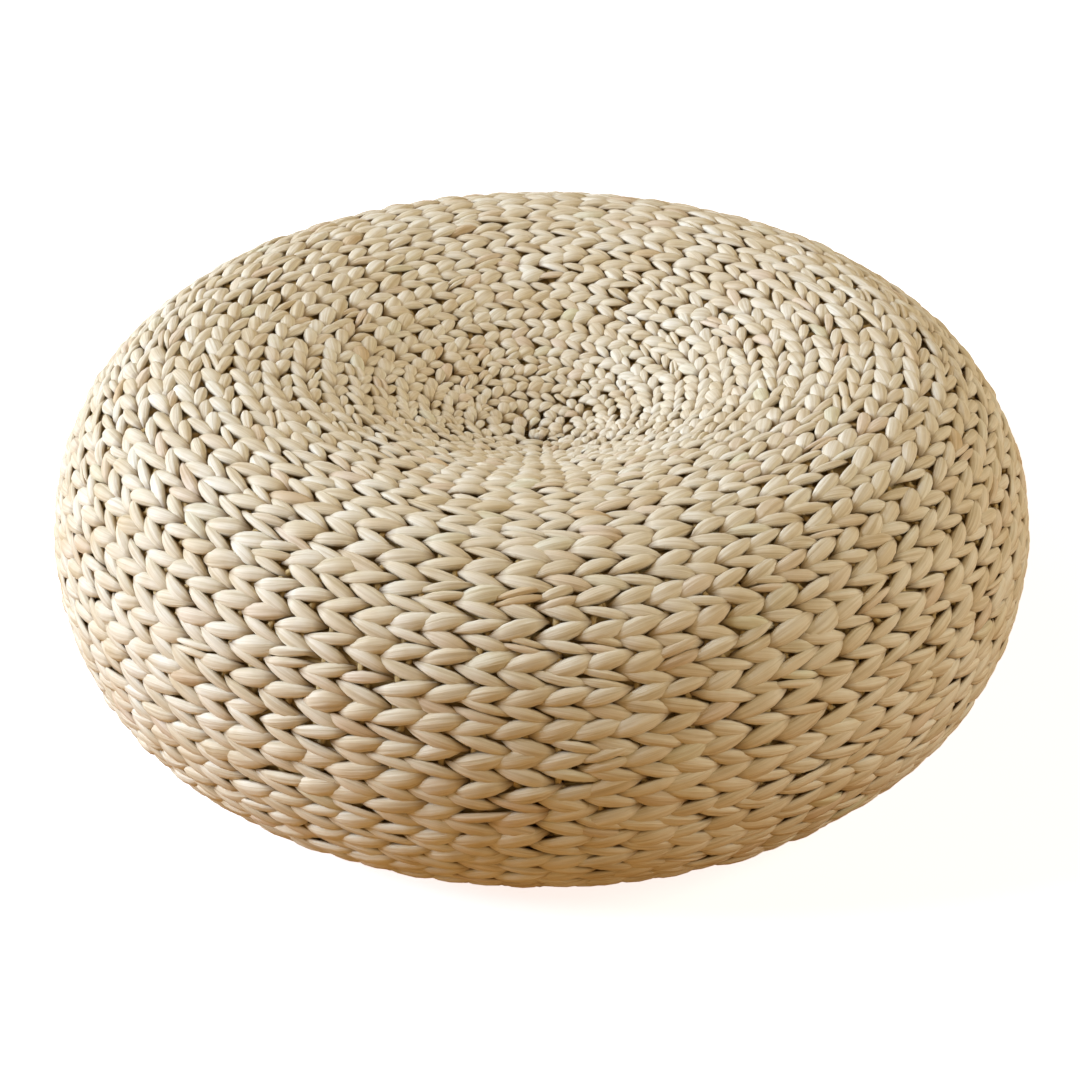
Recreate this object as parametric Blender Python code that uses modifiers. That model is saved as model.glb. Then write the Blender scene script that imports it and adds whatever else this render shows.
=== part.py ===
"""Round twined-straw floor cushion with a dished seat.

A cover of twined husk is worked over radial warp strands from a start knot in the middle of the
dish, over the crest and down the wall to an edge braid. A twined base panel closes it underneath
and is laced to the edge braid. Inside, a two-part cloth bag holds a stuffed rim roll, a centre pad
under the dish and a base pad.

Metres, +Z up. The origin is on the axis at the bottom, where the cushion rests.
"""

import math

import bmesh
import bpy

# Driving dimensions
OUTER_RADIUS = 0.225
HEIGHT = 0.150
CREST_RADIUS = 0.153  # where the top is highest
WAIST_HEIGHT = 0.066  # height of the widest place
DISH_DEPTH = 0.0455
DISH_FULLNESS = 0.85  # 1 makes the dish a plain wave, less makes it open wider
BASE_RADIUS = 0.178  # where the wall meets the floor
WALL_FULLNESS = 2.2  # 2 makes the lower wall an ellipse, more makes it squarer

COVER_THICKNESS = 0.0065  # the twined husk, without its warp strands
WARP_DIAMETER = 0.0018
KNOT_RADIUS = 0.011
KNOT_RISE = 0.0015
WARP_HUB_RADIUS = 0.012
WARP_HUB_THICKNESS = 0.0012
WARP_HUB_GRIP = 0.004  # how far a spoke reaches into its hub
BASE_KNOT_RADIUS = 0.010
EDGE_BRAID_WIDTH = 0.010
LACING_DIAMETER = 0.0024
BAG_THICKNESS = 0.0010
CENTRE_PAD_RADIUS = 0.085
BASE_PAD_THICKNESS = 0.022

FIT_GAP = 0.0003  # between pieces that touch
FACETS = 36  # sides of every turned piece
WARPS = 18  # spokes of a warp spider, each over a corner of the turned pieces
DISH_STATIONS = 8
SHOULDER_STATIONS = 6
WALL_STATIONS = 5

MAIN_COLLECTION = "straw_floor_cushion"
CUTTER_COLLECTION = "cutters"

# Depths of the layers, measured square to the outer face
WARP_DEPTH = COVER_THICKNESS + FIT_GAP + WARP_DIAMETER / 2
BAG_DEPTH = COVER_THICKNESS + WARP_DIAMETER + 2 * FIT_GAP
STUFFING_DEPTH = BAG_DEPTH + BAG_THICKNESS + FIT_GAP
BASE_PAD_TOP = STUFFING_DEPTH + BASE_PAD_THICKNESS

# The base panel's rim, the lacing and the wall's foot follow each other outwards
LACING_RADIUS = BASE_RADIUS - FIT_GAP - LACING_DIAMETER / 2
PANEL_RADIUS = LACING_RADIUS - LACING_DIAMETER / 2 - FIT_GAP


def clear_scene():
    for old in list(bpy.data.objects):
        bpy.data.objects.remove(old, do_unlink=True)


def new_collection(name):
    collection = bpy.data.collections.new(name)
    bpy.context.scene.collection.children.link(collection)
    return collection


def material(name, colour, roughness, metallic=0.0):
    made = bpy.data.materials.new(name)
    made.use_nodes = True
    shader = made.node_tree.nodes["Principled BSDF"]
    shader.inputs["Base Color"].default_value = (*colour, 1.0)
    shader.inputs["Roughness"].default_value = roughness
    shader.inputs["Metallic"].default_value = metallic
    made.diffuse_color = (*colour, 1.0)
    return made


# The outer face is a chain of curves from the middle of the dish to the floor. Each station is
# (radius, height, tilt), where tilt is the angle of the outward normal from straight up: negative
# on the dish, which faces the axis, 90 degrees at the widest place and 180 degrees on the floor.



def dish(count):
    """From the middle of the dish to the crest."""
    stations = []
    for i in range(count):
        share = i / (count - 1)
        phase = math.pi * share**DISH_FULLNESS
        height = HEIGHT - DISH_DEPTH * (1 + math.cos(phase)) / 2
        tilt = 0.0
        if 0 < i < count - 1:
            swing = DISH_DEPTH / 2 * math.sin(phase)
            slope = swing * DISH_FULLNESS * phase / (share * CREST_RADIUS)
            tilt = -math.atan(slope)
        stations.append((CREST_RADIUS * share, height, tilt))
    return stations


def shoulder(count):
    """From below the crest to the widest place."""
    across = OUTER_RADIUS - CREST_RADIUS
    up = HEIGHT - WAIST_HEIGHT
    stations = []
    for i in range(1, count):
        turn = math.pi / 2 * i / (count - 1)
        c, s = math.cos(turn), math.sin(turn)
        tilt = math.atan2(up * s, across * c)
        stations.append((CREST_RADIUS + across * s, WAIST_HEIGHT + up * c, tilt))
    return stations


def lower_wall(count):
    """From below the widest place to the floor."""
    width = OUTER_RADIUS - BASE_RADIUS
    power = 2 / WALL_FULLNESS
    stations = []
    for i in range(1, count):
        turn = math.pi / 2 * i / (count - 1)
        c, s = math.cos(turn), math.sin(turn)
        radius = BASE_RADIUS + width * max(c, 0.0) ** power
        height = WAIST_HEIGHT * (1 - s**power)
        tilt = math.pi
        if i < count - 1:
            across = width * power * c ** (power - 1) * s
            down = WAIST_HEIGHT * power * s ** (power - 1) * c
            tilt = math.pi / 2 + math.atan2(across, down)
        stations.append((radius, height, tilt))
    return stations


def outer_face():
    return dish(DISH_STATIONS) + shoulder(SHOULDER_STATIONS) + lower_wall(WALL_STATIONS)


def layer(stations, depth):
    """The stations moved inwards by depth, as (radius, height) points."""
    points = []
    for radius, height, tilt in stations:
        points.append((radius - depth * math.sin(tilt), height - depth * math.cos(tilt)))
    return points


def height_on(points, radius):
    """The height of a line, followed outwards from the axis, where it first reaches radius."""
    for near, far in zip(points, points[1:]):
        if near[0] <= radius <= far[0]:
            share = (radius - near[0]) / (far[0] - near[0])
            return near[1] + share * (far[1] - near[1])
    return points[-1][1]


def inside_of(points, radius):
    """The part of a line from the axis out to radius."""
    kept = [p for p in points[: DISH_STATIONS + 1] if p[0] < radius - 1e-6]
    return kept + [(radius, height_on(points, radius))]


def outside_of(points, radius):
    """The part of a line from radius outwards and down the wall."""
    first = next(i for i, p in enumerate(points) if p[0] > radius + 1e-6)
    return [(radius, height_on(points, radius))] + points[first:]


def crossing(points, height):
    """Where a line comes down through height on the wall: the next point's index, and the place."""
    for i in range(DISH_STATIONS, len(points)):
        near, far = points[i - 1], points[i]
        if far[1] <= height + 1e-6:
            share = (near[1] - height) / (near[1] - far[1])
            return i, (near[0] + share * (far[0] - near[0]), height)
    return len(points), points[-1]


def above(points, height):
    """The part of a line that lies over height."""
    following, place = crossing(points, height)
    return points[:following] + [place]


def below(points, height):
    """The part of a line that lies under height."""
    following, place = crossing(points, height)
    rest = [p for p in points[following:] if p[1] < height - 1e-6]
    return [place] + rest


def line_at(depth):
    return layer(outer_face(), depth)


def link_object(name, mesh, look, collection):
    made = bpy.data.objects.new(name, mesh)
    collection.objects.link(made)
    mesh.materials.append(look)
    return made


def turned(name, outline, look, collection, ring=False):
    """A solid turned about the axis. The outline runs outwards on top and inwards underneath."""
    mesh = bpy.data.meshes.new(name)
    edges = [(i, i + 1) for i in range(len(outline) - 1)]
    if ring:
        edges.append((len(outline) - 1, 0))
    mesh.from_pydata([(r, 0.0, z) for r, z in outline], edges, [])
    made = link_object(name, mesh, look, collection)
    screw = made.modifiers.new("turn", "SCREW")
    screw.axis = "Z"
    screw.steps = FACETS
    screw.render_steps = FACETS
    screw.use_merge_vertices = True
    screw.merge_threshold = 0.00001
    screw.use_smooth_shade = True
    return made


def spokes(name, line, collection):
    """Round strands that each follow one (radius, height) line, spread evenly about the axis."""
    curve = bpy.data.curves.new(name, "CURVE")
    curve.dimensions = "3D"
    curve.bevel_depth = WARP_DIAMETER / 2
    curve.bevel_resolution = 0
    curve.use_fill_caps = True
    for i in range(WARPS):
        angle = 2 * math.pi * i / WARPS
        strand = curve.splines.new("POLY")
        strand.points.add(len(line) - 1)
        for place, (radius, height) in zip(strand.points, line):
            place.co = (radius * math.cos(angle), radius * math.sin(angle), height, 1.0)
    guide = bpy.data.objects.new(name, curve)
    collection.objects.link(guide)
    bpy.context.view_layer.update()
    mesh = bpy.data.meshes.new_from_object(guide.evaluated_get(bpy.context.evaluated_depsgraph_get()))
    bpy.data.objects.remove(guide, do_unlink=True)
    shape = bmesh.new()
    shape.from_mesh(mesh)
    bmesh.ops.remove_doubles(shape, verts=shape.verts, dist=0.00001)
    bmesh.ops.recalc_face_normals(shape, faces=shape.faces)
    shape.to_mesh(mesh)
    shape.free()
    made = bpy.data.objects.new(name, mesh)
    collection.objects.link(made)
    made.hide_render = True
    made.display_type = "WIRE"
    return made


def warp_spider(name, middle, hub_outline, look, parts, cutters):
    """Warp strands that cross in a flat hub and leave it as spokes."""
    hub = turned(name, hub_outline, look, parts)
    strands = outside_of(middle, WARP_HUB_RADIUS - WARP_HUB_GRIP)
    join = hub.modifiers.new("join_spokes", "BOOLEAN")
    join.operation = "UNION"
    join.solver = "EXACT"
    join.object = spokes(f"{name}_strands", strands, cutters)
    return hub


def make_start_knot(look, collection):
    """The knot in the middle of the dish, over the place where the warps cross."""
    rim = KNOT_RADIUS - FIT_GAP
    top = HEIGHT - DISH_DEPTH + KNOT_RISE
    under = inside_of(line_at(COVER_THICKNESS), rim)
    outline = [(0.0, top), (rim * 0.6, top), (rim, height_on(line_at(0.0), rim))]
    return turned("start_knot", outline + under[::-1], look, collection)


def make_woven_cover(look, collection):
    """The twined husk from the start knot to the edge braid, one continuous spiral of rows."""
    stop = EDGE_BRAID_WIDTH + FIT_GAP
    outside = above(outside_of(line_at(0.0), KNOT_RADIUS), stop)
    inside = above(outside_of(line_at(COVER_THICKNESS), KNOT_RADIUS), stop)
    return turned("woven_cover", outside + inside[::-1], look, collection, ring=True)


def make_edge_braid(look, collection):
    """The braid that finishes the wall where it meets the floor."""
    outside = below(line_at(0.0), EDGE_BRAID_WIDTH)
    inside = below(line_at(COVER_THICKNESS), EDGE_BRAID_WIDTH)
    return turned("edge_braid", outside + inside[::-1], look, collection, ring=True)


def make_warp_spokes(look, parts, cutters):
    half = WARP_HUB_THICKNESS / 2
    outside = inside_of(line_at(WARP_DEPTH - half), WARP_HUB_RADIUS)
    inside = inside_of(line_at(WARP_DEPTH + half), WARP_HUB_RADIUS)
    strands = above(line_at(WARP_DEPTH), EDGE_BRAID_WIDTH + WARP_DIAMETER)
    return warp_spider("warp_spokes", strands, outside + inside[::-1], look, parts, cutters)


def make_base_lacing(look, collection):
    """The twine between the base panel and the edge braid, as the ring that its stitches fill."""
    half = LACING_DIAMETER / 2
    outline = []
    for i in range(8):
        turn = -2 * math.pi * i / 8
        radius = LACING_RADIUS + half * math.cos(turn)
        outline.append((radius, COVER_THICKNESS / 2 + half * math.sin(turn)))
    return turned("base_lacing", outline, look, collection, ring=True)


def disc(radius, bottom, top):
    return [(0.0, top), (radius, top), (radius, bottom), (0.0, bottom)]


def make_base_panel(look, collection):
    """The twined disc that closes the cover underneath."""
    hole = BASE_KNOT_RADIUS
    outline = [(hole, COVER_THICKNESS), (PANEL_RADIUS, COVER_THICKNESS), (PANEL_RADIUS, 0.0), (hole, 0.0)]
    return turned("base_panel", outline, look, collection, ring=True)


def make_base_knot(look, collection):
    outline = disc(BASE_KNOT_RADIUS - FIT_GAP, 0.0, COVER_THICKNESS)
    return turned("base_knot", outline, look, collection)


def make_base_warp_spokes(look, parts, cutters):
    half = WARP_HUB_THICKNESS / 2
    hub = disc(WARP_HUB_RADIUS, WARP_DEPTH - half, WARP_DEPTH + half)
    strands = [(0.0, WARP_DEPTH), (PANEL_RADIUS, WARP_DEPTH)]
    return warp_spider("base_warp_spokes", strands, hub, look, parts, cutters)


def make_bag_top(look, collection):
    """The upper half of the cloth bag, down to its side seam at the waist."""
    outside = above(line_at(BAG_DEPTH), WAIST_HEIGHT)
    inside = above(line_at(BAG_DEPTH + BAG_THICKNESS), WAIST_HEIGHT)
    return turned("bag_top", outside + inside[::-1], look, collection)


def make_bag_bottom(look, collection):
    """The lower half of the cloth bag, a dish with its rim at the side seam."""
    seam = WAIST_HEIGHT - FIT_GAP
    outside = below(line_at(BAG_DEPTH), seam) + [(0.0, BAG_DEPTH)]
    inside = below(line_at(BAG_DEPTH + BAG_THICKNESS), seam) + [(0.0, BAG_DEPTH + BAG_THICKNESS)]
    return turned("bag_bottom", inside[::-1] + outside, look, collection)


def make_base_pad(look, collection):
    """The flat pad on the floor of the bag."""
    side = below(line_at(STUFFING_DEPTH), BASE_PAD_TOP)
    return turned("base_pad", [(0.0, BASE_PAD_TOP), *side, (0.0, STUFFING_DEPTH)], look, collection)


def make_centre_pad(look, collection):
    """The pad under the dish, whose top follows the dish."""
    top = inside_of(line_at(STUFFING_DEPTH), CENTRE_PAD_RADIUS)
    floor = BASE_PAD_TOP + FIT_GAP
    return turned("centre_pad", [*top, (CENTRE_PAD_RADIUS, floor), (0.0, floor)], look, collection)


def make_rim_roll(look, collection):
    """The stuffed ring that holds up the crest and the wall."""
    inner = CENTRE_PAD_RADIUS + FIT_GAP
    floor = BASE_PAD_TOP + FIT_GAP
    side = above(outside_of(line_at(STUFFING_DEPTH), inner), floor)
    return turned("rim_roll", [*side, (inner, floor)], look, collection, ring=True)


def main():
    clear_scene()
    parts = new_collection(MAIN_COLLECTION)
    cutters = new_collection(CUTTER_COLLECTION)
    make_start_knot(material("knot_husk", (0.70, 0.57, 0.39), 0.62), parts)
    make_woven_cover(material("cover_husk", (0.72, 0.60, 0.42), 0.60), parts)
    make_edge_braid(material("braid_husk", (0.66, 0.53, 0.35), 0.64), parts)
    make_warp_spokes(material("warp_husk", (0.55, 0.42, 0.26), 0.70), parts, cutters)
    make_base_panel(material("panel_husk", (0.69, 0.57, 0.39), 0.62), parts)
    make_base_knot(material("base_knot_husk", (0.66, 0.54, 0.36), 0.62), parts)
    make_base_lacing(material("jute_lacing", (0.46, 0.33, 0.19), 0.85), parts)
    make_base_warp_spokes(material("base_warp_husk", (0.55, 0.42, 0.26), 0.70), parts, cutters)
    make_bag_top(material("bag_cotton", (0.80, 0.76, 0.68), 0.88), parts)
    make_bag_bottom(material("bag_floor_cotton", (0.78, 0.74, 0.66), 0.88), parts)
    make_rim_roll(material("straw_roll", (0.64, 0.51, 0.28), 0.80), parts)
    make_centre_pad(material("straw_pad", (0.66, 0.54, 0.31), 0.80), parts)
    make_base_pad(material("straw_base_pad", (0.62, 0.49, 0.27), 0.80), parts)
    bpy.context.view_layer.update()


main()
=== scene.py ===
import math

import bpy
import numpy as np
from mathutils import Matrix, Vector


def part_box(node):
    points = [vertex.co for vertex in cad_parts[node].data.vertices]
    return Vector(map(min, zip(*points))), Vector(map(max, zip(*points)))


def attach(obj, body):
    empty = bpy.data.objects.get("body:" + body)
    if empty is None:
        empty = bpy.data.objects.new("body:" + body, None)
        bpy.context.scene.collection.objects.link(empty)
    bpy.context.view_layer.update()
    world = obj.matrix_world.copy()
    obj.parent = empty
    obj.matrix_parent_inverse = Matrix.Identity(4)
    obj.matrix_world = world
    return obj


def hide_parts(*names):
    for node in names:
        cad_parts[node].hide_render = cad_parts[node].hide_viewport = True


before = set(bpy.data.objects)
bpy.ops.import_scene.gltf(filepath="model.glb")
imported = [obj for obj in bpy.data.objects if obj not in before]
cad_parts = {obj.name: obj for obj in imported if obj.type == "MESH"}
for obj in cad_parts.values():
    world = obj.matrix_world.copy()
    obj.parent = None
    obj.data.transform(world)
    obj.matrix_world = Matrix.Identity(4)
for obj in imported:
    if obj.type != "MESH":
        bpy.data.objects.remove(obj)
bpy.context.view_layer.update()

# ---------------------------------------------------------------- sizes of the cushion, in metres

COVER_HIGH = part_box("woven_cover")[1]
WIDEST = COVER_HIGH[0]  # radius at the waist
CREST = COVER_HIGH[2]  # height of the crest
PANEL_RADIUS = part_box("base_panel")[1][0]
BRAID_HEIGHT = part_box("edge_braid")[1][2]
LACING_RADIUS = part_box("base_lacing")[1][0]

CREST_RADIUS = 0.153
WAIST_HEIGHT = 0.066
DISH_DEPTH = 0.0455
DISH_FULLNESS = 0.85
FOOT_RADIUS = 0.178
WALL_FULLNESS = 2.2
BAG_DEPTH = 0.0089  # of the bag's cloth under the cushion's outer face
FLOOR_GAP = 0.0002  # nothing is laid nearer to the floor than this

ROW_PITCH = 0.0129  # one row of chevrons: a rising round of leaves and a falling one
MIDDLE_FINENESS = 0.85  # of the rows in the middle of the dish, against the rest
LEAF_RISE = 1.05  # rise of a leaf, in half rows
LEAF_REACH = 1.64  # length of a leaf along its row, in stitches
LEAF_PLUMP = 1.80  # width of a leaf, in the room its neighbours leave it
LEAF_WIDEST = 0.0078
LEAF_HEIGHT = 0.36  # height of a leaf over its edges, in widths
TIP_DIVE = 0.0027  # how far a leaf's tips dive under their neighbours
RISING_LEAD = 0.10  # how much wider the rising leaves are, and the falling ones narrower
ROW_DRIFT = 0.09  # how far a row's leaves wander from those above, in stitches
SPLIT_SHARE = 0.06  # of the stitches, which are two slim strands
SPLIT_WIDTH = 0.60  # width of each slim strand, in widths of a whole leaf
SPLIT_APART = 0.27  # from a slim strand to the middle of the stitch, in widths of a whole leaf
TINT_SHIFT = (3.7, 1.9)  # how far a leaf's shade moves its grain along and across, so no two show the same veins
STRAND_END = 0.35  # width of an open strand's ends, in widths
WARP_WIDTH = 0.0034
WARP_HEIGHT = 0.0024
WARP_SINK = 0.0043  # from the outer face to the middle of a warp
BACK_SINK = 0.0062  # from the outer face to the middle of the strands behind the warps
BACK_WIDTH = 0.0076
BACK_HEIGHT = 0.0022
WARP_SWAY = 0.15  # sideways pull of the twining on a warp, in stitches
LACING_STITCHES = 84
BRAID_CROSSINGS = 34
SELVEDGE_TURNS = 60

# Stitches in a round, by the round's radius: warps are laid in as the rounds grow
STITCHES = (
    (0.006, 5),
    (0.012, 10),
    (0.019, 16),
    (0.028, 24),
    (0.039, 34),
    (0.053, 45),
    (0.074, 54),
    (0.091, 57),
    (0.108, 62),
    (0.140, 67),
    (0.171, 71),
    (0.188, 80),
    (1.000, 86),
)


# ---------------------------------------------------------------- the cushion's outer face

def face_line():
    """Radius, height and tilt of the outer face, from the middle of the dish to the floor."""
    share = np.linspace(0.0, 1.0, 240)
    phase = math.pi * share**DISH_FULLNESS
    dish_r = CREST_RADIUS * share
    dish_z = CREST - DISH_DEPTH * (1 + np.cos(phase)) / 2
    turn = np.linspace(0.0, math.pi / 2, 160)[1:]
    shoulder_r = CREST_RADIUS + (WIDEST - CREST_RADIUS) * np.sin(turn)
    shoulder_z = WAIST_HEIGHT + (CREST - WAIST_HEIGHT) * np.cos(turn)
    power = 2 / WALL_FULLNESS
    wall_r = FOOT_RADIUS + (WIDEST - FOOT_RADIUS) * np.clip(np.cos(turn), 0, 1) ** power
    wall_z = WAIST_HEIGHT * (1 - np.sin(turn) ** power)
    r = np.concatenate([dish_r, shoulder_r, wall_r])
    z = np.concatenate([dish_z, shoulder_z, wall_z])
    run = np.concatenate([[0.0], np.cumsum(np.hypot(np.diff(r), np.diff(z)))])
    even = np.linspace(0.0, run[-1], 900)
    r, z = np.interp(even, run, r), np.interp(even, run, z)
    tilt = np.unwrap(np.arctan2(-np.gradient(z), np.gradient(r)))
    smooth = np.convolve(np.pad(tilt, 8, mode="edge"), np.ones(17) / 17, mode="valid")
    return even, r, z, smooth


FACE_RUN, FACE_R, FACE_Z, FACE_TILT = face_line()


def on_cushion(theta, run, out):
    """Points on the outer face, a distance out from it: theta round the axis, run from the dish's middle."""
    run = np.clip(run, 0.0, FACE_RUN[-1])
    tilt = np.interp(run, FACE_RUN, FACE_TILT)
    r = np.interp(run, FACE_RUN, FACE_R) + out * np.sin(tilt)
    z = np.maximum(np.interp(run, FACE_RUN, FACE_Z) + out * np.cos(tilt), FLOOR_GAP)
    return np.stack([r * np.sin(theta), -r * np.cos(theta), z], axis=-1)


def cushion_radius(run):
    return np.interp(run, FACE_RUN, FACE_R)


def on_underside(theta, run, out):
    """Points on the flat underside. Theta turns the other way, as the panel is twined facing down."""
    return np.stack([-run * np.sin(theta), -run * np.cos(theta), np.maximum(-out, FLOOR_GAP)], axis=-1)


def underside_radius(run):
    return run


def waver(theta, run, size, seed):
    """A slow unevenness of hand work, round and across the rows."""
    draw = np.random.default_rng(seed)
    total = np.zeros_like(theta + run)
    for turns in (2, 3, 5, 8, 13):
        start, drift = draw.uniform(0, 2 * math.pi), draw.uniform(-18, 18)
        total += np.sin(turns * theta + drift * run * 3 + start) / turns**0.5
    return size * total / 2


# ---------------------------------------------------------------- modelling helpers

def deselect():
    if bpy.context.object and bpy.context.object.mode != "OBJECT":
        bpy.ops.object.mode_set(mode="OBJECT")
    bpy.ops.object.select_all(action="DESELECT")


def finished(piece, name, look, slot, *nodes):
    """Names a piece, gives it its finish, hangs it on the root body and hides the parts of the model it stands for.
    """
    piece.name = piece.data.name = name
    piece.data.materials.clear()
    piece.data.materials.append(look)
    piece.data.shade_smooth()
    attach(piece, "root")
    if nodes:
        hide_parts(*nodes)
    return piece


def husk_leaf(widest, fold, twist):
    """One twisted husk leaf, two long and one wide each way, as points and faces.
    It is drawn out ring by ring from an eight-cornered section with a fold along its back."""
    deselect()
    bpy.ops.mesh.primitive_circle_add(
        vertices=8, radius=1.0, fill_type="NGON", location=(-1.0, 0.0, 0.0), rotation=(0, math.pi / 2, 0)
    )
    leaf = bpy.context.object
    bpy.ops.object.transform_apply(location=False, rotation=True, scale=False)
    section = [
        (1.0, 0.0), (0.84, 0.60), (0.40, 0.95), (-0.06 + fold, 0.97),
        (-0.48, 0.90), (-0.86, 0.56), (-1.0, 0.0), (0.0, -0.5),
    ]
    corners = sorted(leaf.data.vertices, key=lambda v: math.atan2(v.co.z, v.co.y) % (2 * math.pi))
    for corner, (y, z) in zip(corners, section):
        corner.co.y, corner.co.z = y, z
    rings = (-1.0, -0.88, -0.66, -0.36, 0.0, 0.36, 0.66, 0.88, 1.0)
    bpy.ops.object.mode_set(mode="EDIT")
    bpy.ops.mesh.select_all(action="SELECT")
    for here, there in zip(rings, rings[1:]):
        bpy.ops.mesh.extrude_region_move(TRANSFORM_OT_translate={"value": (there - here, 0, 0)})
    bpy.ops.object.mode_set(mode="OBJECT")
    mesh = leaf.data
    points = np.array([v.co for v in mesh.vertices])
    points[:, 0] -= points[:, 0].min() + 1.0
    along = points[:, 0]
    lean = np.where(along < widest, (along - widest) / (1 + widest), (along - widest) / (1 - widest))
    full = 0.10 + 0.90 * np.clip(1 - np.abs(lean) ** 1.85, 0, 1) ** 0.86
    turned = twist * along
    y, z = points[:, 1] * full, points[:, 2] * (0.35 + 0.65 * full)
    points[:, 1] = y * np.cos(turned) - z * np.sin(turned) * 0.5
    points[:, 2] = y * np.sin(turned) * 0.5 + z * np.cos(turned)
    around = np.arctan2(points[:, 2], points[:, 1])
    faces = [list(face.vertices) for face in mesh.polygons]
    bpy.data.objects.remove(leaf, do_unlink=True)
    bpy.data.meshes.remove(mesh)
    middle = points.mean(axis=0)
    turned_in = 0.0
    for face in faces:
        a, b, c = (points[i] for i in face[:3])
        turned_in += np.dot(np.cross(b - a, c - a), points[face].mean(axis=0) - middle)
    if turned_in < 0:
        faces = [face[::-1] for face in faces]
    return points, around, faces


LEAF_SHAPES = [
    husk_leaf(0.0, 0.0, 0.35),
    husk_leaf(-0.15, 0.18, 0.50),
    husk_leaf(0.12, -0.12, 0.25),
    husk_leaf(-0.05, 0.30, 0.62),
    husk_leaf(0.18, 0.05, 0.10),
]


def leaf_mesh(name, points, faces, tints, painted_shades, coords):
    """A mesh whose points carry the tone of their leaf, the painted shade of its tucked ends and edges, and its
    grain.
    """
    mesh = bpy.data.meshes.new(name)
    mesh.from_pydata(points.tolist(), [], faces)
    for label, values in (("husk_tint", tints), ("husk_tip", painted_shades)):
        layer = mesh.attributes.new(label, "FLOAT", "POINT")
        layer.data.foreach_set("value", np.concatenate(values).astype(np.float32))
    corner_points = np.empty(len(mesh.loops), np.int32)
    mesh.loops.foreach_get("vertex_index", corner_points)
    grain_map = mesh.uv_layers.new(name="grain")
    grain_map.data.foreach_set("uv", np.concatenate(coords)[corner_points].astype(np.float32).ravel())
    piece = bpy.data.objects.new(name, mesh)
    bpy.context.scene.collection.objects.link(piece)
    return piece


def lay_leaves(name, stitches, place, radius_at):
    """Lays leaves on a face as one mesh. Each stitch is a row of theta, run, reach, rise, width,
    height, bow, tint, shape and how far it stands proud."""
    points, faces, tints, painted_shades, coords = [], [], [], [], []
    first = 0
    for kind, (shape, around, shape_faces) in enumerate(LEAF_SHAPES):
        chosen = stitches[stitches[:, 8] == kind]
        if not len(chosen):
            continue
        theta, run, reach, rise, width, height, bow, tint, _, proud = chosen.T[:, :, None]
        length = np.hypot(reach, rise)
        slope_cos, slope_sin = reach / length, rise / length
        a, b, c = shape.T[:, None, :]
        along = a * length / 2
        across = b * width / 2 + bow * width * (1 - a**2)
        side = along * slope_cos - across * slope_sin
        down = -(along * slope_sin + across * slope_cos)
        out = proud + c * height - height - TIP_DIVE * (0.22 * a**2 + 0.78 * np.abs(a) ** 4)
        here = run + down
        spread = side / np.maximum(radius_at(np.maximum(here, 0.0)), 0.004)
        laid = place(theta + spread, here, out).reshape(-1, 3)
        points.append(laid)
        count, corners = len(chosen), len(shape)
        for i in range(count):
            start = first + i * corners
            faces += [[start + j for j in face] for face in shape_faces]
        first += count * corners
        tints.append(np.repeat(tint[:, 0], corners))
        # painted shade: strongest at the leaf's ends and along its low edges, where it tucks under its neighbours
        painted_shade_share = np.maximum(np.abs(shape[:, 0]), 1 - np.clip(shape[:, 2] / 0.62, 0, 1))
        painted_shades.append(np.tile(painted_shade_share, count))
        grain_along = along + tint * TINT_SHIFT[0] + theta * 0.31
        grain_across = around[None, :] * width / 2 + run * TINT_SHIFT[1]
        grain = np.stack([grain_along, grain_across], axis=-1)
        coords.append(grain.reshape(-1, 2))
    return leaf_mesh(name, np.concatenate(points), faces, tints, painted_shades, coords)


def lay_strands(name, strands, sides, closed):
    """Round or flat strands as one mesh. Each has its points, the way out at each, and its width,
    height and tint; a strand that isn't closed in a ring narrows to closed ends."""
    points, faces, tints, coords = [], [], [], []
    first = 0
    corner = 2 * math.pi * np.arange(sides) / sides
    for line, outward, width, height, tint in strands:
        count = len(line)
        if closed:
            along = np.roll(line, -1, axis=0) - np.roll(line, 1, axis=0)
        else:
            along = np.gradient(line, axis=0)
        along /= np.linalg.norm(along, axis=1)[:, None]
        beside = np.cross(outward, along)
        beside /= np.linalg.norm(beside, axis=1)[:, None]
        upward = np.cross(along, beside)
        full = np.ones(count)
        if not closed:
            full[0] = full[-1] = STRAND_END
        ring = (
            line[:, None, :]
            + beside[:, None, :] * (np.cos(corner) * width / 2)[None, :, None] * full[:, None, None]
            + upward[:, None, :] * (np.sin(corner) * height / 2)[None, :, None] * full[:, None, None]
        )
        ring[..., 2] = np.maximum(ring[..., 2], FLOOR_GAP)
        points.append(ring.reshape(-1, 3))
        for i in range(count if closed else count - 1):
            here, there = first + i * sides, first + (i + 1) % count * sides
            for j in range(sides):
                k = (j + 1) % sides
                faces.append([here + j, here + k, there + k, there + j])
        if not closed:
            faces.append([first + j for j in reversed(range(sides))])
            faces.append([first + (count - 1) * sides + j for j in range(sides)])
        first += count * sides
        tints.append(np.full(count * sides, tint))
        length = np.concatenate([[0.0], np.cumsum(np.linalg.norm(np.diff(line, axis=0), axis=1))])
        girth = np.abs(corner - math.pi) * width / 2
        grain = np.broadcast_arrays(length[:, None] + tint * TINT_SHIFT[0], girth[None, :] + tint * TINT_SHIFT[1])
        coords.append(np.stack(grain, axis=-1).reshape(-1, 2))
    return leaf_mesh(name, np.concatenate(points), faces, tints, [np.zeros(first)], coords)


def slow_wave(draw):
    """A slow drift round one row, about one either way."""
    turns = np.array([2, 3, 5, 8, 13])
    phases = draw.uniform(0, 2 * math.pi, len(turns))
    return lambda theta: np.sin(np.outer(theta, turns) + phases).sum(axis=1) * (2 / len(turns)) ** 0.5


def stitches_in(radius):
    return next(count for limit, count in STITCHES if radius < limit)


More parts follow.
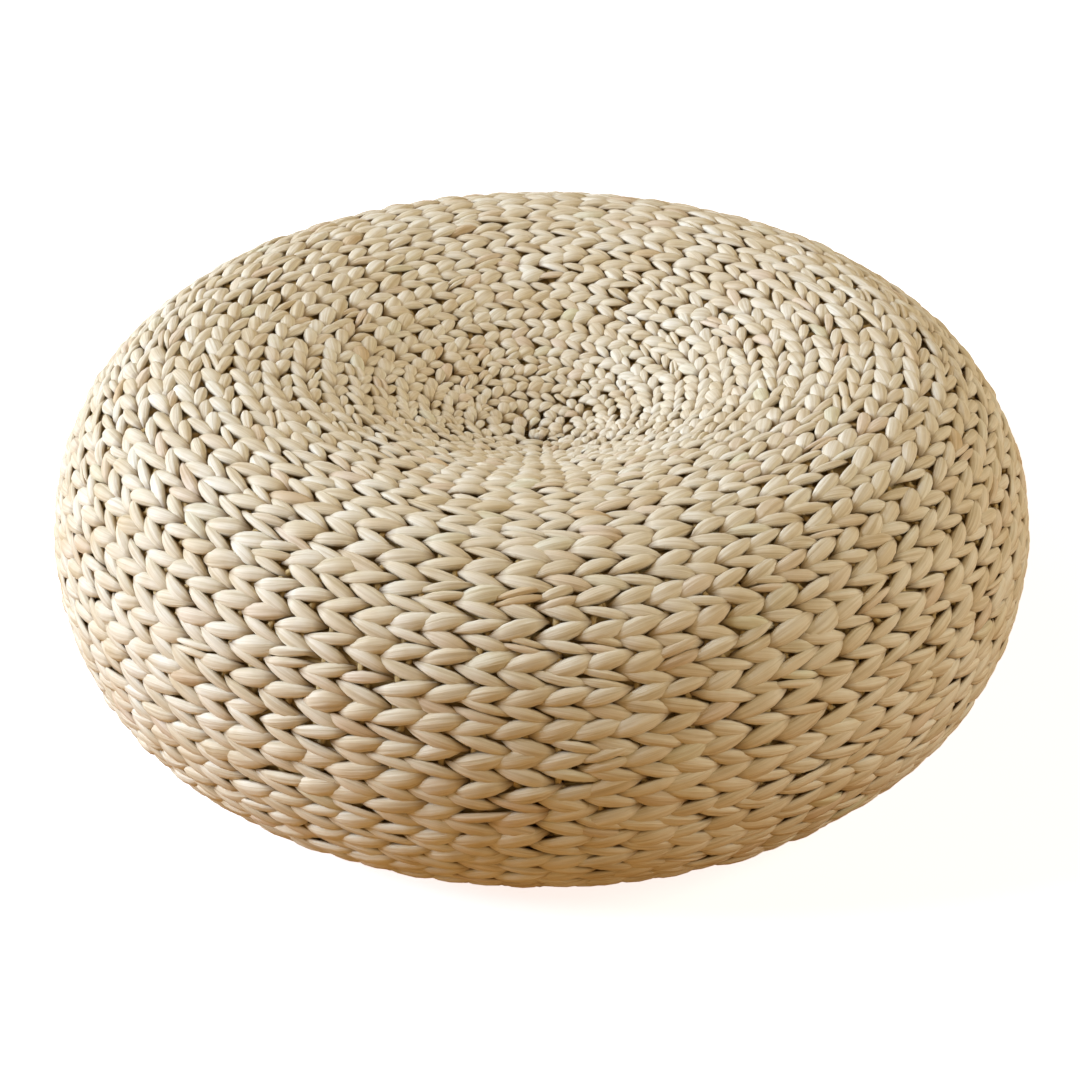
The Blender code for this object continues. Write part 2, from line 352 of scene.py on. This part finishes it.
def row_pitch(run):
    """The rows start fine and reach their full width near the edge of the dish."""
    return ROW_PITCH * (MIDDLE_FINENESS + (1 - MIDDLE_FINENESS) * np.clip((run - 0.045) / 0.06, 0, 1))


def round_starts(start, stop):
    """The run at which each round of a spiral starts."""
    starts = [start]
    while starts[-1] < stop + ROW_PITCH:
        starts.append(starts[-1] + float(row_pitch(starts[-1])))
    return np.array(starts)


def twined_rounds(start, stop, radius_at, seed):
    """The leaves of a spiral of rounds: in each round a rising leaf and a falling one over each warp."""
    draw = np.random.default_rng(seed)
    found = []
    starts = round_starts(start, stop)
    waves = {1: slow_wave(draw), -1: slow_wave(draw)}
    for turn in range(len(starts) - 1):
        radius = float(radius_at((starts[turn] + starts[turn + 1]) / 2))
        count = stitches_in(radius)
        theta = 2 * math.pi * (np.arange(count) + 0.5) / count
        run = np.interp(turn + theta / (2 * math.pi), np.arange(len(starts)), starts)
        row = row_pitch(run)
        pitch = 2 * math.pi * radius_at(run) / count
        for lift, offset in ((1, 0.0), (-1, 0.5)):
            # the twining is looser low on the wall and in the middle of the dish
            loose = 1.0 + 0.9 * np.clip((run - 0.26) / 0.09, 0, 1) + 0.9 * np.clip((0.12 - run) / 0.06, 0, 1)
            lead = 1.0 + lift * RISING_LEAD
            reach = LEAF_REACH * pitch * draw.normal(1.0, 0.065, count) * np.clip(0.72 + radius_at(run) / 0.08, 0, 1)
            rise = lift * LEAF_RISE * row / 2 * draw.normal(1.0, 0.14, count)
            room = pitch * np.abs(rise) / np.hypot(reach, rise)
            width = np.minimum(LEAF_PLUMP * room, LEAF_WIDEST) * lead
            low_down = np.clip((run - 0.24) / 0.05, 0, 1)
            width *= np.clip(draw.normal(1.03, 0.11, count), 0.78, 1.20) * (1 + 0.08 * low_down)
            reach *= 1 + 0.07 * low_down
            height = LEAF_HEIGHT * (1 - 0.16 * low_down) * width * np.clip(draw.normal(1.0, 0.10, count), 0.75, 1.3)
            share, before, waves[lift] = theta / (2 * math.pi), waves[lift], slow_wave(draw)
            wander = (1 - share) * before(theta) + share * waves[lift](theta)
            drift = ROW_DRIFT * pitch * wander
            shift = (drift + draw.normal(0.0, 0.045, count) * pitch * loose) / radius_at(run)
            across = draw.normal(0.0, 0.00028, count) * loose + 0.00022 * wander
            proud = lift * 0.00018 + draw.normal(0.0, 0.00030, count)
            tint = np.clip(draw.normal(0.5, 0.17, count), 0, 1)
            shape = draw.integers(0, len(LEAF_SHAPES), count)
            bow = draw.normal(0.0, 0.08, count)
            place = run + offset * row + across
            found.append(
                np.stack([theta + shift, place, reach, rise, width, height, bow, tint, shape, proud], axis=1)
            )
    found = np.concatenate(found)
    # a few stitches are two slim strands side by side
    split = draw.uniform(0, 1, len(found)) < SPLIT_SHARE
    found[split, 4] *= SPLIT_WIDTH
    second = found[split].copy()
    found[split, 1] -= SPLIT_APART * found[split, 4] / SPLIT_WIDTH
    second[:, 1] += SPLIT_APART * second[:, 4] / SPLIT_WIDTH
    second[:, 3] *= 0.8
    second[:, 7] *= 0.5
    found = np.concatenate([found, second])
    return found[found[:, 1] < stop]


# ---------------------------------------------------------------- finishes

def linear(hex_colour):
    """An sRGB colour such as 'e8dcc0' as linear red, green, blue and alpha."""
    parts = [int(hex_colour[i : i + 2], 16) / 255 for i in (0, 2, 4)]
    return (*(p / 12.92 if p <= 0.04045 else ((p + 0.055) / 1.055) ** 2.4 for p in parts), 1.0)


def finish(name):
    look = bpy.data.materials.new(name)
    look.use_nodes = True
    return look, look.node_tree, look.node_tree.nodes["Principled BSDF"]


def add(tree, kind, settings=None, **sockets):
    """Adds a node with its settings; a socket takes a number, a colour or another node's output.
    A setting called stops lists a colour ramp's places and colours, and i6 is the seventh socket."""
    made = tree.nodes.new(kind)
    for key, value in (settings or {}).items():
        if key == "stops":
            for place, _ in value[2:]:
                made.color_ramp.elements.new(place)
            for element, (place, colour) in zip(made.color_ramp.elements, value):
                element.position = place
                element.color = linear(colour)
        else:
            setattr(made, key, value)
    for key, value in sockets.items():
        socket = made.inputs[int(key[1:])] if key[0] == "i" and key[1:].isdigit() else made.inputs[key]
        if isinstance(value, bpy.types.NodeSocket):
            tree.links.new(value, socket)
        else:
            socket.default_value = value
    return made


def husk_finish(name, tones, painted_shade_tone, painted_shade_strength):
    """Dried maize husk, split and twisted damp: matt satin leaves, each its own tone, with fine veins, and painted
    shade darkening their ends and edges where they tuck under one another.
    """
    look, tree, shader = finish(name)
    tint = add(tree, "ShaderNodeAttribute", {"attribute_name": "husk_tint"}).outputs["Fac"]
    # painted shade where the leaves tuck under one another
    tip = add(tree, "ShaderNodeAttribute", {"attribute_name": "husk_tip"}).outputs["Fac"]
    grain = add(tree, "ShaderNodeUVMap", {"uv_map": "grain"}).outputs["UV"]
    place = add(tree, "ShaderNodeTexCoord").outputs["Object"]
    colour = add(tree, "ShaderNodeValToRGB", {"stops": tones}, Fac=tint).outputs["Color"]
    # veins run along the leaf: about 0.35 mm apart, drawn twice as coarse to show
    veins_at = add(tree, "ShaderNodeMapping", Vector=grain, Scale=(45.0, 1500.0, 1.0)).outputs["Vector"]
    flat = {"noise_dimensions": "2D"}
    veins = add(tree, "ShaderNodeTexNoise", flat, Vector=veins_at, Scale=1.0, Detail=2.0).outputs["Fac"]
    folds_at = add(tree, "ShaderNodeMapping", Vector=grain, Scale=(25.0, 420.0, 1.0)).outputs["Vector"]
    folds = add(tree, "ShaderNodeTexNoise", flat, Vector=folds_at, Scale=1.0, Detail=1.5).outputs["Fac"]
    stain = add(tree, "ShaderNodeTexNoise", Vector=place, Scale=55.0, Detail=3.0).outputs["Fac"]
    shades = (
        (veins, 0.30, ((0.30, "d8cdb4"), (0.62, "ffffff"))),
        (folds, 0.40, ((0.28, "c9b78e"), (0.52, "ffffff"))),
        (stain, 0.35, ((0.36, "dcc79a"), (0.60, "ffffff"))),
    )
    multiply = {"data_type": "RGBA", "blend_type": "MULTIPLY"}
    for pattern, share, stops in shades:
        shade = add(tree, "ShaderNodeValToRGB", {"stops": stops}, Fac=pattern).outputs["Color"]
        colour = add(tree, "ShaderNodeMix", multiply, Factor=share, i6=colour, i7=shade).outputs[2]
    # painted shade: the tucked ends and edges are mixed toward a dark brown
    painted_shade_range = {"From Min": 0.55, "From Max": 1.0, "To Max": painted_shade_strength}
    painted_shade = add(tree, "ShaderNodeMapRange", Value=tip, **painted_shade_range).outputs["Result"]
    colour = add(tree, "ShaderNodeMix", {"data_type": "RGBA"}, Factor=painted_shade, i6=colour, i7=linear(painted_shade_tone)).outputs[2]
    tree.links.new(colour, shader.inputs["Base Color"])
    rough = add(tree, "ShaderNodeMapRange", Value=folds, **{"To Min": 0.68, "To Max": 0.50}).outputs["Result"]
    tree.links.new(rough, shader.inputs["Roughness"])
    relief = add(tree, "ShaderNodeMath", {"operation": "MULTIPLY_ADD"}, i0=folds, i1=2.2, i2=veins).outputs[0]
    bump = add(tree, "ShaderNodeBump", Height=relief, Strength=0.6, Distance=0.00035)
    tree.links.new(bump.outputs["Normal"], shader.inputs["Normal"])
    shader.inputs["IOR"].default_value = 1.45
    shader.inputs["Specular IOR Level"].default_value = 0.35
    return look


HUSK = husk_finish(
    "dried_maize_husk_twined",
    ((0.0, "d9c6a4"), (0.12, "e4d6c2"), (0.3, "e5dcc4"), (0.5, "e9e2cf"), (0.8, "ece8d8"), (1.0, "dedcbe")),
    "7d5a24",
    # painted shade in the creases where the leaves tuck under one another: its colour and strength
    0.85,
)
WARP_HUSK = husk_finish(
    "dried_maize_husk_warp",
    ((0.0, "b59a64"), (0.5, "cbb27c"), (1.0, "d6c08c")),
    "8d7040",
    # painted shade's colour, given no strength on the warps
    0.0,
)


def cloth_finish(name, colour, dark):
    """Unbleached calico, plain woven: matt, with its threads about 0.5 mm apart, drawn coarser, at 2 mm."""
    look, tree, shader = finish(name)
    place = add(tree, "ShaderNodeTexCoord").outputs["Object"]
    threads = [
        add(tree, "ShaderNodeTexWave", {"bands_direction": way}, Vector=place, Scale=160.0, Distortion=0.6)
        for way in ("X", "Y")
    ]
    warp, weft = (thread.outputs["Fac"] for thread in threads)
    weave = add(tree, "ShaderNodeMath", {"operation": "MULTIPLY"}, i0=warp, i1=weft).outputs[0]
    tone = add(tree, "ShaderNodeValToRGB", {"stops": ((0.0, dark), (0.7, colour))}, Fac=weave).outputs["Color"]
    tree.links.new(tone, shader.inputs["Base Color"])
    bump = add(tree, "ShaderNodeBump", Height=weave, Strength=0.4, Distance=0.0003)
    tree.links.new(bump.outputs["Normal"], shader.inputs["Normal"])
    shader.inputs["Roughness"].default_value = 0.9
    return look


BAG_CLOTH = cloth_finish("unbleached_calico", "d2bf96", "a58c5a")

# ---------------------------------------------------------------- the twined cover

COVER_START = 0.0035
COVER_STOP = float(FACE_RUN[np.argmax((FACE_Z < BRAID_HEIGHT) & (FACE_R > CREST_RADIUS))])
cover_stitches = twined_rounds(COVER_START, COVER_STOP + 0.003, cushion_radius, 11)
cover_stitches[:, 1] += waver(cover_stitches[:, 0], cover_stitches[:, 1], 0.0007, 5)

# the cover's pieces, each with the runs it starts and stops at
COVER_ZONES = (
    ("twined_dish", 0.0, 0.118),
    ("twined_crest", 0.118, 0.205),
    ("twined_wall", 0.205, 0.290),
    ("twined_foot", 0.290, 1.0),
)
for name, low, high in COVER_ZONES:
    chosen = cover_stitches[(cover_stitches[:, 1] >= low) & (cover_stitches[:, 1] < high)]
    finished(lay_leaves(name, chosen, on_cushion, cushion_radius), name, HUSK, "husk", "woven_cover")

# five leaves laid round the middle, where the first round starts
knot_stitches = np.array(
    [
        # theta, run, reach, rise, width, height, bow, tint, shape, proud
        (0.3, 0.0006, 0.0150, 0.0040, 0.0062, 0.0030, 0.10, 0.55, 0, 0.0002),
        (1.9, 0.0008, 0.0140, -0.0030, 0.0060, 0.0030, -0.10, 0.40, 1, 0.0000),
        (3.4, 0.0022, 0.0105, 0.0035, 0.0056, 0.0027, 0.08, 0.65, 2, -0.0003),
        (4.8, 0.0026, 0.0105, -0.0035, 0.0056, 0.0027, -0.08, 0.30, 3, -0.0003),
        (5.9, 0.0026, 0.0105, 0.0030, 0.0054, 0.0027, 0.08, 0.75, 4, -0.0005),
    ]
)
start_knot = lay_leaves("start_knot_turns", knot_stitches, on_cushion, cushion_radius)
finished(start_knot, "start_knot_turns", HUSK, "husk", "start_knot")


def warp_lines(start, stop, place, radius_at, draw):
    """The warps under the rounds: each stretch keeps its round's count, and sways with the twining."""
    strands = []
    starts = round_starts(start - 0.004, stop)
    edges = [0.0] + [limit for limit, _ in STITCHES]
    for (low, high), (_, count) in zip(zip(edges, edges[1:]), STITCHES):
        runs = np.arange(start, stop, ROW_PITCH / 4)
        runs = runs[(radius_at(runs) >= low - 0.003) & (radius_at(runs) < high + 0.003)]
        if len(runs) < 3 or count < 9:
            continue
        for j in range(count):
            theta = 2 * math.pi * (j + 0.5) / count
            beat = 2 * math.pi * (np.interp(runs, starts, np.arange(len(starts))) - theta / (2 * math.pi) - 0.25)
            sway = WARP_SWAY * 2 * math.pi / count * np.cos(beat)
            line = place(theta + sway, runs, np.full(len(runs), -WARP_SINK))
            outward = place(theta + sway, runs, np.zeros(len(runs))) - line
            outward /= np.linalg.norm(outward, axis=1)[:, None]
            strands.append((line, outward, WARP_WIDTH, WARP_HEIGHT, draw.uniform(0.2, 0.8)))
    return strands


warps = warp_lines(COVER_START + 0.004, COVER_STOP, on_cushion, cushion_radius, np.random.default_rng(21))
finished(lay_strands("cover_warps", warps, 6, False), "cover_warps", WARP_HUSK, "warp_husk", "warp_spokes")


def back_strands(start, stop, place, draw):
    """The half of each twined round that passes behind the warps, seen through the holes."""
    starts = round_starts(start, stop)
    strands = []
    for turn in range(len(starts) - 1):
        for offset in (0.0, 0.5):
            theta = np.linspace(0, 2 * math.pi, 73)
            run = np.interp(turn + theta / (2 * math.pi), np.arange(len(starts)), starts)
            run = run + offset * row_pitch(run)
            kept = run < stop
            if kept.sum() < 6:
                continue
            theta, run = theta[kept], run[kept]
            line = place(theta, run, np.full(len(run), -BACK_SINK))
            outward = place(theta, run, np.full(len(run), 0.001 - BACK_SINK)) - line
            outward /= np.maximum(np.linalg.norm(outward, axis=1), 1e-9)[:, None]
            strands.append((line, outward, BACK_WIDTH, BACK_HEIGHT, draw.uniform(0.2, 0.8)))
    return strands


backs = back_strands(COVER_START + 0.012, COVER_STOP, on_cushion, np.random.default_rng(23))
finished(lay_strands("cover_back_strands", backs, 6, False), "cover_back_strands", WARP_HUSK, "husk", "woven_cover")

# ---------------------------------------------------------------- the twined base

PANEL_SINK = 0.0006  # the base panel's leaves stop this far over the floor


def on_panel(theta, run, out):
    return on_underside(theta, run, out - PANEL_SINK)


panel_stitches = twined_rounds(0.004, PANEL_RADIUS - 0.002, underside_radius, 12)
PANEL_ZONES = (("twined_base_middle", 0.0, 0.115), ("twined_base_edge", 0.115, 1.0))
for name, low, high in PANEL_ZONES:
    chosen = panel_stitches[(panel_stitches[:, 1] >= low) & (panel_stitches[:, 1] < high)]
    finished(lay_leaves(name, chosen, on_panel, underside_radius), name, HUSK, "husk", "base_panel")
panel_warps = warp_lines(0.008, PANEL_RADIUS - 0.002, on_panel, underside_radius, np.random.default_rng(22))
finished(lay_strands("base_warps", panel_warps, 6, False), "base_warps", WARP_HUSK, "warp_husk", "base_warp_spokes")
base_knot = lay_leaves("base_knot_turns", knot_stitches, on_panel, underside_radius)
finished(base_knot, "base_knot_turns", HUSK, "husk", "base_knot")

selvedge = []
for i in range(2):
    theta = np.linspace(0, 2 * math.pi, SELVEDGE_TURNS * 10 + 1)[:-1]
    phase = SELVEDGE_TURNS * theta + math.pi * i
    line = on_underside(theta, PANEL_RADIUS - 0.0005 + 0.0022 * np.sin(phase), -0.0056 + 0.0014 * np.cos(phase))
    selvedge.append((line, np.tile([0.0, 0.0, -1.0], (len(theta), 1)), 0.0072, 0.0050, 0.4 + 0.2 * i))
finished(lay_strands("base_selvedge", selvedge, 8, True), "base_selvedge", HUSK, "husk")

braid_middle = (COVER_STOP + FACE_RUN[-1]) / 2
braid_reach = (FACE_RUN[-1] - COVER_STOP) / 2 - 0.0055
braid_strands = []
for i in range(3):
    theta = np.linspace(0, 2 * math.pi, BRAID_CROSSINGS * 16 + 1)[:-1]
    phase = BRAID_CROSSINGS * theta + 2 * math.pi * i / 3
    run = braid_middle + braid_reach * np.sin(phase)
    line = on_cushion(theta, run, -0.0038 + 0.0016 * np.sin(2 * phase))
    outward = on_cushion(theta, run, 0.001) - on_cushion(theta, run, 0.0)
    braid_strands.append((line, outward / 0.001, 0.0105, 0.0052, 0.35 + 0.15 * i))
finished(lay_strands("edge_plait", braid_strands, 10, True), "edge_plait", HUSK, "husk", "edge_braid")


# ---------------------------------------------------------------- twine and stuffing

def fibre_finish(name, colours, spacing, rough):
    """Bundled plant fibre: matt, mottled darker and lighter at the spacing of its fibres."""
    look, tree, shader = finish(name)
    place = add(tree, "ShaderNodeTexCoord").outputs["Object"]
    noise = add(tree, "ShaderNodeTexNoise", Vector=place, Scale=1 / spacing, Detail=4.0, Roughness=0.65)
    streak = noise.outputs["Fac"]
    tone = add(tree, "ShaderNodeValToRGB", {"stops": colours}, Fac=streak).outputs["Color"]
    tree.links.new(tone, shader.inputs["Base Color"])
    bump = add(tree, "ShaderNodeBump", Height=streak, Strength=0.7, Distance=0.0006)
    tree.links.new(bump.outputs["Normal"], shader.inputs["Normal"])
    shader.inputs["Roughness"].default_value = rough
    shader.inputs["Specular IOR Level"].default_value = 0.25
    return look


JUTE = fibre_finish("jute_twine_two_ply", ((0.3, "6d5230"), (0.7, "a98858")), 0.0012, 0.85)
STRAW = fibre_finish("rice_straw_stuffing", ((0.25, "7d6432"), (0.75, "c8ab66")), 0.004, 0.75)


def turned_piece(name, outline, steps, lumps, seed):
    """A piece spun about the axis from an outline that starts and ends on it, or is closed in a ring."""
    deselect()
    mesh = bpy.data.meshes.new(name)
    ring = outline[0][0] > 0.0005
    edges = [(i, i + 1) for i in range(len(outline) - 1)]
    if ring:
        edges.append((len(outline) - 1, 0))
    mesh.from_pydata([(r, 0.0, z) for r, z in outline], edges, [])
    piece = bpy.data.objects.new(name, mesh)
    bpy.context.scene.collection.objects.link(piece)
    bpy.context.view_layer.objects.active = piece
    piece.select_set(True)
    bpy.ops.object.mode_set(mode="EDIT")
    bpy.ops.mesh.select_all(action="SELECT")
    bpy.ops.mesh.spin(steps=steps, angle=2 * math.pi, center=(0, 0, 0), axis=(0, 0, 1))
    bpy.ops.mesh.select_all(action="SELECT")
    bpy.ops.mesh.remove_doubles(threshold=0.00002)
    bpy.ops.mesh.normals_make_consistent(inside=False)
    bpy.ops.object.mode_set(mode="OBJECT")
    draw = np.random.default_rng(seed)
    phases = draw.uniform(0, 2 * math.pi, 6)
    for corner in mesh.vertices:
        x, y, z = corner.co
        round_axis = math.atan2(y, x)
        swell = sum(
            math.sin((3 + 2 * k) * round_axis + (40 + 15 * k) * z + phases[k]) / (k + 2) for k in range(6)
        )
        corner.co += corner.normal * (lumps * swell - lumps)
    return piece


def cushion_line(depth, low, high, step=0.006):
    """The outer face's line at a depth, between two runs, as radius and height."""
    runs = np.linspace(low, high, max(4, int((high - low) / step)))
    at = on_cushion(math.pi / 2, runs, -depth)
    return [(float(x), float(z)) for x, _, z in at]


def run_at(radius=None, height=None):
    """The run where the wall passes a height, or where the dish passes a radius."""
    if radius is not None:
        return float(np.interp(radius, FACE_R[FACE_RUN < 0.16], FACE_RUN[FACE_RUN < 0.16]))
    wall = FACE_R > CREST_RADIUS
    return float(np.interp(-height, -FACE_Z[wall], FACE_RUN[wall]))


bag_line = [(0.0, CREST - DISH_DEPTH - BAG_DEPTH)]
bag_line += cushion_line(BAG_DEPTH, 0.004, FACE_RUN[-1]) + [(0.0, BAG_DEPTH)]
bag = turned_piece("calico_bag", bag_line, 120, 0.0003, 31)
skin = bag.modifiers.new("cloth", "SOLIDIFY")
skin.thickness = 0.0008
skin.offset = -1.0
bpy.context.view_layer.objects.active = bag
bpy.ops.object.modifier_apply(modifier="cloth")
finished(bag, "calico_bag", BAG_CLOTH, "cotton", "bag_top", "bag_bottom")

STUFFING_DEPTH = BAG_DEPTH + 0.0018  # of the straw's face under the cushion's outer face
pad_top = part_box("base_pad")[1][2]
pad_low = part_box("base_pad")[0][2]
roll_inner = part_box("centre_pad")[1][0]
roll_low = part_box("rim_roll")[0][2]

base_pad_line = [(0.0, pad_top)] + cushion_line(STUFFING_DEPTH, run_at(height=pad_top), FACE_RUN[-1] - 0.002)
base_pad_line += [(0.0, pad_low + 0.0005)]
base_pad = turned_piece("straw_base_pad", base_pad_line, 96, 0.0006, 32)
finished(base_pad, "straw_base_pad", STRAW, "straw", "base_pad")

dish_line = cushion_line(STUFFING_DEPTH, 0.004, run_at(radius=roll_inner - 0.004))
centre_line = [(0.0, dish_line[0][1])] + dish_line
centre_line += [
    (roll_inner - 0.001, dish_line[-1][1] - 0.006),
    (roll_inner - 0.001, roll_low + 0.006),
    (roll_inner - 0.007, roll_low),
    (0.0, roll_low),
]
centre_pad = turned_piece("straw_centre_pad", centre_line, 96, 0.0006, 33)
finished(centre_pad, "straw_centre_pad", STRAW, "straw", "centre_pad")

roll_line = cushion_line(STUFFING_DEPTH, run_at(radius=roll_inner + 0.008), run_at(height=roll_low + 0.008))
roll_line += [
    (roll_line[-1][0] - 0.010, roll_low),
    (roll_inner + 0.010, roll_low),
    (roll_inner + 0.002, roll_low + 0.010),
    (roll_inner + 0.002, roll_line[0][1] - 0.008),
]
roll = turned_piece("straw_rim_roll", roll_line, 144, 0.0006, 34)
finished(roll, "straw_rim_roll", STRAW, "straw", "rim_roll")

lacing = []
for i in range(LACING_STITCHES):
    swing = np.linspace(-1.0, 1.0, 9)
    theta = 2 * math.pi * i / LACING_STITCHES + 0.010 * swing
    radius = LACING_RADIUS - 0.001 + 0.0085 * swing
    line = np.stack([radius * np.sin(theta), -radius * np.cos(theta), 0.0014 + 0.0042 * swing**4], axis=1)
    outward = np.tile([0.0, 0.0, -1.0], (9, 1))
    lacing.append((line, outward, 0.0030, 0.0024, (i * 0.37) % 1.0))
finished(lay_strands("base_lacing_stitches", lacing, 8, False), "base_lacing_stitches", JUTE, "jute", "base_lacing")

# ---------------------------------------------------------------- floor, light and camera

def board(name, size, height, colour, glow):
    """A flat matt board on the studio floor."""
    deselect()
    bpy.ops.mesh.primitive_plane_add(size=size, location=(0.0, 0.0, height))
    made = bpy.context.object
    made.name = name
    look, tree, shader = finish(name + "_matt")
    shader.inputs["Base Color"].default_value = linear(colour)
    shader.inputs["Roughness"].default_value = 0.9
    shader.inputs["Specular IOR Level"].default_value = 0.1
    shader.inputs["Emission Color"].default_value = (1, 1, 1, 1)
    shader.inputs["Emission Strength"].default_value = glow
    made.data.materials.append(look)
    return made


# the white floor is what the camera sees; the tan board gives the warm light from below
floor = board("white_floor", 12.0, -0.0006, "f6f6f6", 0.80)
bounce = board("tan_bounce_board", 6.0, -0.0004, "bd8d4c", 0.0)
bounce.visible_camera = False
bounce.visible_shadow = False


def softbox(name, place, aim, size, power, colour):
    data = bpy.data.lights.new(name, "AREA")
    data.shape = "DISK"
    data.size = size
    data.energy = power
    data.color = linear(colour)[:3]
    lamp = bpy.data.objects.new(name, data)
    bpy.context.scene.collection.objects.link(lamp)
    lamp.location = place
    way = np.array(aim) - np.array(place)
    tip = math.atan2(math.hypot(way[0], way[1]), -way[2])
    lamp.rotation_euler = (tip, 0.0, math.atan2(way[1], way[0]) - math.pi / 2)
    return lamp


LIGHT_AIM = (0, 0, 0.08)
SOFTBOX_SIZE = 1.4
softbox("key_softbox", (-2.1, 0.05, 1.05), LIGHT_AIM, SOFTBOX_SIZE, 82.0, "dbe9ff")
softbox("top_softbox", (-1.0, 0.9, 1.9), LIGHT_AIM, SOFTBOX_SIZE, 4.0, "e4eeff")
softbox("side_softbox", (2.1, -0.2, 1.0), LIGHT_AIM, SOFTBOX_SIZE, 22.0, "fbfaf0")

world = bpy.data.worlds.new("studio")
bpy.context.scene.world = world
world.use_nodes = True
world.node_tree.nodes["Background"].inputs["Color"].default_value = linear("ffdda8")
world.node_tree.nodes["Background"].inputs["Strength"].default_value = 0.41

# a round white wall behind the floor's edge, for the low views
deselect()
bpy.ops.mesh.primitive_cylinder_add(
    vertices=96, radius=5.9, depth=9.0, end_fill_type="NOTHING", location=(0, 0, 4.5)
)
backdrop = bpy.context.object
backdrop.name = "white_backdrop"
backdrop.data.materials.append(floor.data.materials[0])
for made in (floor, backdrop):
    made.visible_diffuse = made.visible_glossy = made.visible_shadow = False

CAMERA_ELEVATION = math.radians(33.23)
CAMERA_DISTANCE = 0.9820
CAMERA_TARGET = (-0.0006, 0.0, 0.0433)
lens = bpy.data.cameras.new("camera")
lens.lens = 68.5
lens.sensor_width = 36.0
camera = bpy.data.objects.new("camera", lens)
bpy.context.scene.collection.objects.link(camera)
camera.location = (
    CAMERA_TARGET[0],
    CAMERA_TARGET[1] - CAMERA_DISTANCE * math.cos(CAMERA_ELEVATION),
    CAMERA_TARGET[2] + CAMERA_DISTANCE * math.sin(CAMERA_ELEVATION),
)
camera.rotation_euler = (math.pi / 2 - CAMERA_ELEVATION, 0.0, 0.0)
bpy.context.scene.camera = camera

bpy.context.scene.view_settings.view_transform = "Standard"
